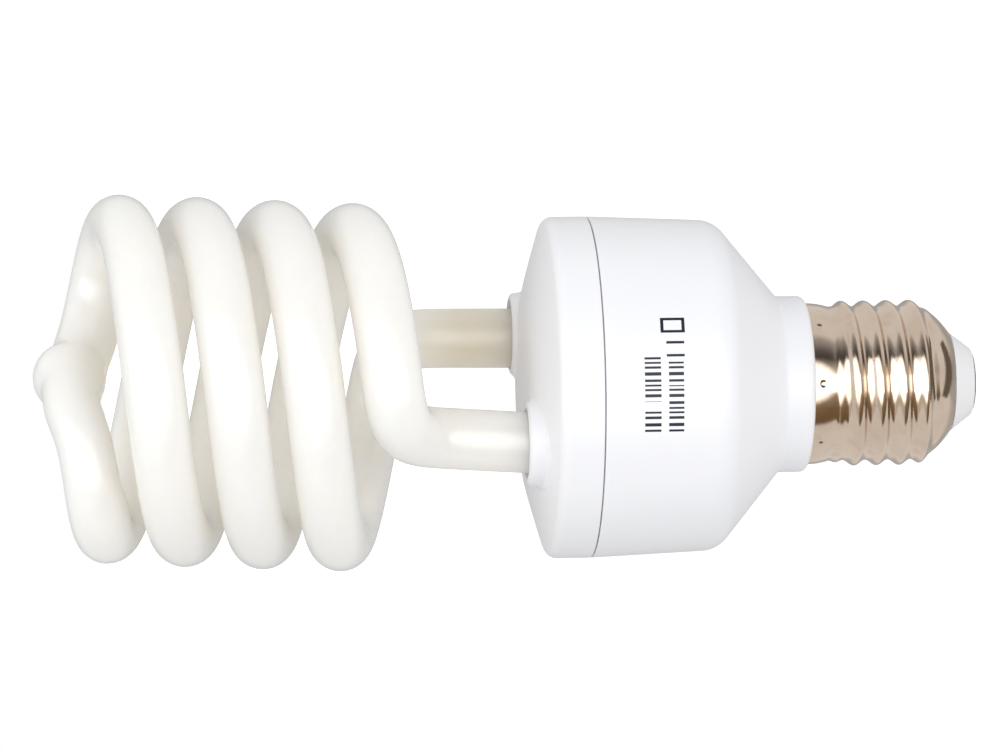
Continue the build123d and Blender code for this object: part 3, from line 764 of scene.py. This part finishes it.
def set_world():
    """Surroundings: 1 to the camera, WORLD_GLOSS to reflections and WORLD_LIGHT as light."""
    world = bpy.data.worlds.new("studio")
    bpy.context.scene.world = world
    world.use_nodes = True
    tree = world.node_tree
    start = Socket(tree, None)
    path = [start.node("ShaderNodeLightPath", output=name) for name in
            ("Is Camera Ray", "Is Glossy Ray", "Is Transmission Ray")]
    seen = path[0].maths("MAXIMUM", path[2])
    strength = seen * (1.0 - WORLD_LIGHT) + WORLD_LIGHT + path[1] * (WORLD_GLOSS - WORLD_LIGHT)
    background = tree.nodes["Background"]
    background.inputs["Color"].default_value = (1, 1, 1, 1)
    tree.links.new(strength.output, background.inputs["Strength"])


def softbox(name, place, target, size, power):
    """A rectangular lamp that faces a point."""
    data = bpy.data.lights.new(name, "AREA")
    data.shape = "RECTANGLE"
    data.size, data.size_y = size[0] * MM, size[1] * MM
    data.energy = power
    lamp = bpy.data.objects.new(name, data)
    lamp.location = Vector(place) * MM
    aim = Vector(target) - Vector(place)
    lamp.rotation_euler = aim.to_track_quat("-Z", "X").to_euler()
    lamp.visible_camera = False
    bpy.context.collection.objects.link(lamp)


def card(name, points, faces, colour_of, strength):
    """A glowing sheet that only reflections see. colour_of makes its colour's nodes."""
    mesh = bpy.data.meshes.new(name)
    mesh.from_pydata((points * MM).tolist(), [], faces.tolist())
    made = Finish(name)
    made.tree.nodes.remove(made.shader)
    glow = made.tree.nodes.new("ShaderNodeEmission")
    glow.inputs["Strength"].default_value = strength
    made.tree.links.new(colour_of(made).output, glow.inputs["Color"])
    made.tree.links.new(glow.outputs[0], made.tree.nodes["Material Output"].inputs["Surface"])
    made.material.cycles.emission_sampling = "NONE"
    mesh.materials.append(made.material)
    sheet = bpy.data.objects.new(name, mesh)
    bpy.context.collection.objects.link(sheet)
    sheet.visible_camera = False
    sheet.visible_diffuse = False
    sheet.visible_transmission = False
    sheet.visible_shadow = False


def round_card():
    """A cylinder round the bulb: a bright oval in front between dark bands, pale elsewhere.

    Its colour depends on the angle round the bulb's axis from the side of -y, and on the
    angle along the axis, which divides the bands into two sides and cuts a slot in the oval.
    """
    count = CARD_COLUMNS
    angle = np.linspace(0, TURN, count, endpoint=False)
    x, y = CARD_R * np.cos(angle), CARD_R * np.sin(angle)
    rows = np.array([CARD_LOW, CARD_HIGH])[:, None] + 0 * angle
    points = np.stack([np.tile(x, 2), np.tile(y, 2), rows.ravel()], axis=-1)
    low = np.arange(count)
    faces = np.stack([low, np.roll(low, -1), np.roll(low, -1) + count, low + count], axis=-1)

    def bands_of(made, turn, bands):
        """The colour of one side's bands. It is divided by the card's glow, which gives it back."""
        stops = [((place + 180) / 360, shade(*[c / CARD_GLOW for c in colour]))
                 for place, colour in bands]
        return made.base.node("ShaderNodeValToRGB", {"Fac": turn * (1 / 360) + 0.5}, stops=stops)

    def colour_of(made):
        """The bands of both sides, with the slotted oval over them."""
        x, y, z = made.axes()
        turn = x.maths("ARCTAN2", y * -1.0) * (180 / np.pi)
        tilt = (z - CARD_HEART).maths("ARCTAN2", CARD_R) * (180 / np.pi)
        low_side = bands_of(made, turn, CARD_LOW_SIDE)
        high_side = bands_of(made, turn, CARD_HIGH_SIDE)
        edge = 12.0 - turn.ramp(-10.0, 10.0) * 52.0
        bands = (tilt - edge).ramp(-12.0, 12.0).mix(low_side, high_side)
        across = (turn - CARD_OVAL_MIDDLE[0]) * (1 / CARD_OVAL_REACH[0])
        along = (tilt - CARD_OVAL_MIDDLE[1]) * (1 / CARD_OVAL_REACH[1])
        oval = 1.0 - (across * across + along * along).ramp(0.55, 1.05)
        slot = 1.0 - (tilt - CARD_SLOT).maths("ABSOLUTE").ramp(0.0, CARD_SLOT_REACH)
        return (oval * (1.0 - slot * CARD_SLOT_SHARE)).mix(bands, shade(1, 1, 1))

    card("round_card", points, faces, colour_of, CARD_GLOW)


def tip_card():
    """A small dark card off the tip, for the dark streak on the shell's shoulder."""
    points = np.array([(-20, -14, -75), (50, 18, -75), (50, 46, -75), (-20, 10, -75)], dtype=float)

    def colour_of(made):
        """Two dark browns in soft blotches."""
        return made.noise(40).mix(shade(0.13, 0.11, 0.09), shade(0.17, 0.15, 0.12))

    card("tip_card", points, np.array([(0, 1, 2, 3)]), colour_of, 1.0)


def set_floor():
    """A wide pale floor below the cap, with a glow to the camera that brings it to white."""
    mesh = bpy.data.meshes.new("floor")
    reach, level = FLOOR_REACH_M, FLOOR_HEIGHT * MM
    corners = [(-reach, -reach, level), (reach, -reach, level),
               (reach, reach, level), (-reach, reach, level)]
    mesh.from_pydata(corners, [], [(0, 1, 2, 3)])
    made = bpy.data.materials.new("floor")
    made.use_nodes = True
    shader = made.node_tree.nodes["Principled BSDF"]
    shader.inputs["Base Color"].default_value = shade(0.9, 0.9, 0.9)
    shader.inputs["Roughness"].default_value = 0.9
    shader.inputs["Specular IOR Level"].default_value = 0.0
    start = Socket(made.node_tree, None)
    seen = start.node("ShaderNodeLightPath", output="Is Camera Ray")
    glow = seen.mix(shade(0, 0, 0), shade(1, 1, 1))
    made.node_tree.links.new(glow.output, shader.inputs["Emission Color"])
    shader.inputs["Emission Strength"].default_value = FLOOR_GLOW
    mesh.materials.append(made)
    floor = bpy.data.objects.new("floor", mesh)
    bpy.context.collection.objects.link(floor)
    floor.visible_glossy = False


# Finishes, pieces and lamps

GLASS = glass_finish()
HOUSING_PLASTIC = plastic_finish(
    "housing_plastic", shade(0.87, 0.875, 0.90), shade(0.85, 0.855, 0.885), printed=True)
COVER_PLASTIC = plastic_finish(
    "cover_plastic", shade(0.87, 0.875, 0.90), shade(0.85, 0.855, 0.885))
TIP_PLASTIC = plastic_finish(
    "tip_plastic", shade(0.83, 0.83, 0.84), shade(0.80, 0.80, 0.815), 0.45)
CEMENT = plain_finish("cement_paste", (0.86, 0.84, 0.79), 0.85)
METAL = metal_finish()
CONTACT = plain_finish("contact_metal", (0.34, 0.33, 0.30), 0.35, 1.0)

# Each slot's colour, roughness and metallic, for the nodes that scene.py doesn't replace
# and for the modelled solids under those that it does.
COMPONENT_COLOURS = {
    "tinned_wire": ((0.7, 0.7, 0.68), 0.3, 1.0),
    "solder": ((0.55, 0.55, 0.55), 0.4, 1.0),
    "board_laminate": ((0.62, 0.5, 0.25), 0.5, 0.0),
    "can_sleeve": ((0.05, 0.06, 0.08), 0.3, 0.0),
    "ferrite": ((0.05, 0.05, 0.05), 0.6, 0.0),
    "bobbin_plastic": ((0.04, 0.04, 0.04), 0.5, 0.0),
    "copper_wire": ((0.6, 0.28, 0.1), 0.3, 1.0),
    "wire_sleeve": ((0.7, 0.08, 0.05), 0.4, 0.0),
    "component_black": ((0.03, 0.03, 0.03), 0.35, 0.0),
    "component_blue": ((0.06, 0.17, 0.45), 0.35, 0.0),
    "component_tan": ((0.6, 0.42, 0.22), 0.4, 0.0),
    "film_red": ((0.5, 0.06, 0.03), 0.3, 0.0),
    "white_plastic": ((0.87, 0.875, 0.9), 0.4, 0.0),
    "phosphor_glass": ((0.9, 0.885, 0.85), 0.3, 0.0),
    "cement": ((0.86, 0.84, 0.79), 0.85, 0.0),
    "nickel_brass": ((0.64, 0.55, 0.44), 0.2, 1.0),
    "tip_plastic": ((0.84, 0.84, 0.85), 0.45, 0.0),
    "contact_metal": ((0.45, 0.43, 0.4), 0.3, 1.0),
}


def dress_components():
    """Gives every node that keeps its modelled shape its slot's finish."""
    slots = {part["node"]: part["material_slot"] for part in frame["record"]["subparts"]}
    made = {}
    for name, node in frame["nodes"].items():
        slot = slots[name]
        if slot not in made:
            colour, roughness, metallic = COMPONENT_COLOURS[slot]
            made[slot] = plain_finish("inside_" + slot, colour, roughness, metallic)
        for place in node.material_slots:
            place.material = made[slot]


dress_components()
glass_tube(GLASS)
screw_shell(METAL)
insulator(TIP_PLASTIC)
contact(CONTACT)
housing(HOUSING_PLASTIC)
cover(COVER_PLASTIC)
for side in (-1, 1):
    collar(side, COVER_PLASTIC)
    cement(side, CEMENT)
set_camera()
set_world()
set_floor()
softbox("front_strip", (46, -700, 90), (0, 0, 85), (1000, 240), 1.3)
softbox("glass_side_box", (120, -450, 700), (0, 0, 85), (900, 500), 1.85)
softbox("cap_side_box", (0, -560, -330), (0, 0, 30), (500, 260), 0.7)
round_card()
tip_card()

bpy.context.scene.view_settings.view_transform = "Standard"
